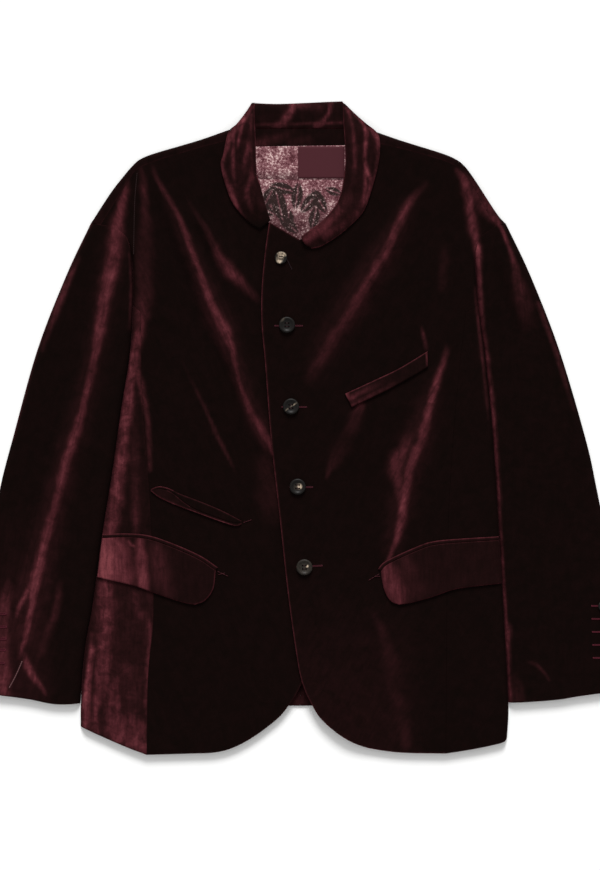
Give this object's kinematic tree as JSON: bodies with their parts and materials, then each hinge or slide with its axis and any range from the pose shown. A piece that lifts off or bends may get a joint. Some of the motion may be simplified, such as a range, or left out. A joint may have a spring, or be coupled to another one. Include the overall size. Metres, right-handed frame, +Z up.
{
  "type": "velvet blazer laid flat",
  "caption": "Single-breasted velvet blazer laid flat and buttoned, with a rolled collar, flap pockets, a chest welt and a slanted ticket pocket.",
  "frame": {"origin": "on the surface the garment lies on, under the middle of its outline", "axes": "+Z up from the surface, +Y from the hem to the collar, +X to the wearer's left"},
  "size_m": [0.7916, 0.7856, 0.0174],
  "materials": {
    "velvet": "deep red-brown cotton velvet, near black face on, with a pinkish sheen on folds",
    "lining": "printed satin lining, pale pink and maroon",
    "neck_patch": "plain woven maroon patch",
    "horn": "dark grey-brown horn with pale streaks, polished"
  },
  "bodies": {
    "root": {"back_left": "velvet", "back_right": "velvet", "front_left": "velvet", "front_right": "velvet", "side_left": "velvet", "side_right": "velvet", "shoulder_left": "velvet", "shoulder_right": "velvet", "sleeve_top_left": "velvet", "sleeve_top_right": "velvet", "sleeve_under_left": "velvet", "sleeve_under_right": "velvet", "collar_fall_left": "velvet", "collar_fall_right": "velvet", "collar_fall_back": "velvet", "collar_stand_left": "velvet", "collar_stand_right": "velvet", "collar_stand_back": "velvet", "neck_facing": "velvet", "flap_left": "velvet", "flap_right": "velvet", "jet_left": "velvet", "jet_right": "velvet", "chest_welt": "velvet", "ticket_lip_upper": "velvet", "ticket_lip_lower": "velvet", "lining_yoke": "lining", "lining_back": "lining", "neck_patch": "neck_patch", "front_button_1": "horn", "front_button_2": "horn", "front_button_3": "horn", "front_button_4": "horn", "front_button_5": "horn", "cuff_button_left_1": "horn", "cuff_button_left_2": "horn", "cuff_button_left_3": "horn", "cuff_button_left_4": "horn", "cuff_button_left_5": "horn", "cuff_button_right_1": "horn", "cuff_button_right_2": "horn", "cuff_button_right_3": "horn", "cuff_button_right_4": "horn", "cuff_button_right_5": "horn"}
  },
  "joints": []
}
